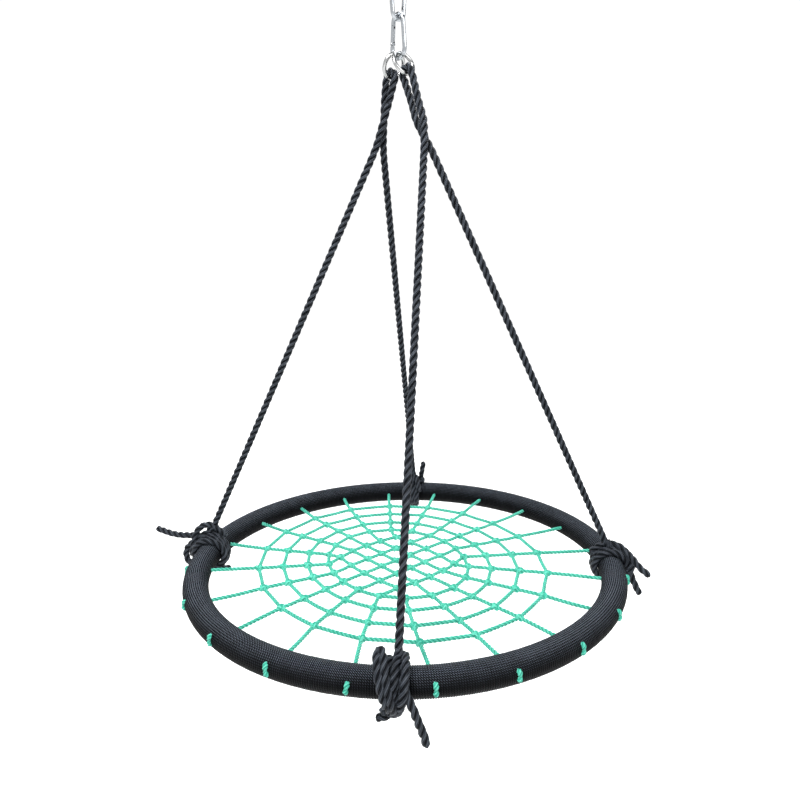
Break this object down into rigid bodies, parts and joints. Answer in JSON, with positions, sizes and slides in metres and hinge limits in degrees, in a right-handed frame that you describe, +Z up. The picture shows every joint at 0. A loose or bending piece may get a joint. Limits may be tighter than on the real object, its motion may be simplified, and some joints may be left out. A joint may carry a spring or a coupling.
{
  "type": "saucer nest swing",
  "caption": "Round roped frame with a knotted net seat, hung by two folded ropes from a pair of rings and two sprung snap hooks.",
  "frame": {"origin": "the hang point: the top of the space inside the upper snap hook, where a swing hanger carries it", "axes": "+Z up, +X and +Y towards two of the four places where the ropes hold the round frame"},
  "size_m": [1.19, 1.0401, 1.3394],
  "materials": {
    "zinc_wire": "bright zinc plate on bent round wire",
    "zinc_tube": "bright zinc plate on drawn tube",
    "zinc_ring": "bright zinc plate on a welded ring",
    "rivet_steel": "plain steel",
    "spring_steel": "drawn spring wire",
    "black_rope": "three-strand twisted rope, slight sheen",
    "wrap_cord": "thin twisted cord wound turn by turn",
    "net_cord": "three-strand twisted polyethylene cord",
    "foam": "closed-cell foam, hidden",
    "hoop_steel": "zinc primer, hidden"
  },
  "bodies": {
    "hanger": {"hanger_hook": "zinc_wire", "hanger_rivet": "rivet_steel"},
    "hanger_gate": {"hanger_gate": "zinc_tube", "hanger_spring": "spring_steel", "hanger_plunger": "rivet_steel"},
    "carabiner": {"carabiner_hook": "zinc_wire", "carabiner_rivet": "rivet_steel"},
    "carabiner_gate": {"carabiner_gate": "zinc_tube", "carabiner_spring": "spring_steel", "carabiner_plunger": "rivet_steel"},
    "ring_left": {"ring_left": "zinc_ring"},
    "ring_right": {"ring_right": "zinc_ring"},
    "seat": {"rope_left_back": "black_rope", "rope_right_front": "black_rope", "tail_front": "black_rope", "tail_right": "black_rope", "tail_back": "black_rope", "tail_left": "black_rope", "hitch_front": "black_rope", "hitch_right": "black_rope", "hitch_back": "black_rope", "hitch_left": "black_rope", "steel_hoop": "hoop_steel", "foam_sleeve": "foam", "rope_wrap": "wrap_cord", "net_grid": "net_cord", "net_arms": "net_cord", "net_round_1": "net_cord", "net_round_2": "net_cord", "net_round_3": "net_cord", "net_round_4": "net_cord", "net_spokes": "net_cord", "net_knots": "net_cord", "net_stoppers": "net_cord"}
  },
  "joints": [
    {"name": "hanger_gate_hinge", "type": "hinge", "parent": "hanger", "child": "hanger_gate", "pos_m": [0.01251, 0.01251, -0.02451], "axis": [-0.7071, 0.7071, 0], "range_deg": [0, 25], "stiffness_Nm_per_rad": 0.05, "springref_deg": -17.19},
    {"name": "carabiner_swing", "type": "hinge", "parent": "hanger", "child": "carabiner", "pos_m": [0, 0, -0.0765], "axis": [0.7071, 0.7071, 0], "range_deg": [-45, 45]},
    {"name": "carabiner_gate_hinge", "type": "hinge", "parent": "carabiner", "child": "carabiner_gate", "pos_m": [-0.01251, 0.01251, -0.11919], "axis": [0.7071, 0.7071, 0], "range_deg": [0, 25], "stiffness_Nm_per_rad": 0.05, "springref_deg": -17.19},
    {"name": "seat_swing", "type": "hinge", "parent": "carabiner", "child": "seat", "pos_m": [0, 0, -0.14633], "axis": [0.7071, -0.7071, 0], "range_deg": [-45, 45]},
    {"name": "ring_left_turn", "type": "hinge", "parent": "seat", "child": "ring_left", "pos_m": [-0.01045, 0.01045, -0.15999], "axis": [-0.6355, 0.6355, 0.4384], "continuous": true},
    {"name": "ring_right_turn", "type": "hinge", "parent": "seat", "child": "ring_right", "pos_m": [0.01045, -0.01045, -0.15999], "axis": [0.6355, -0.6355, 0.4384], "continuous": true}
  ]
}
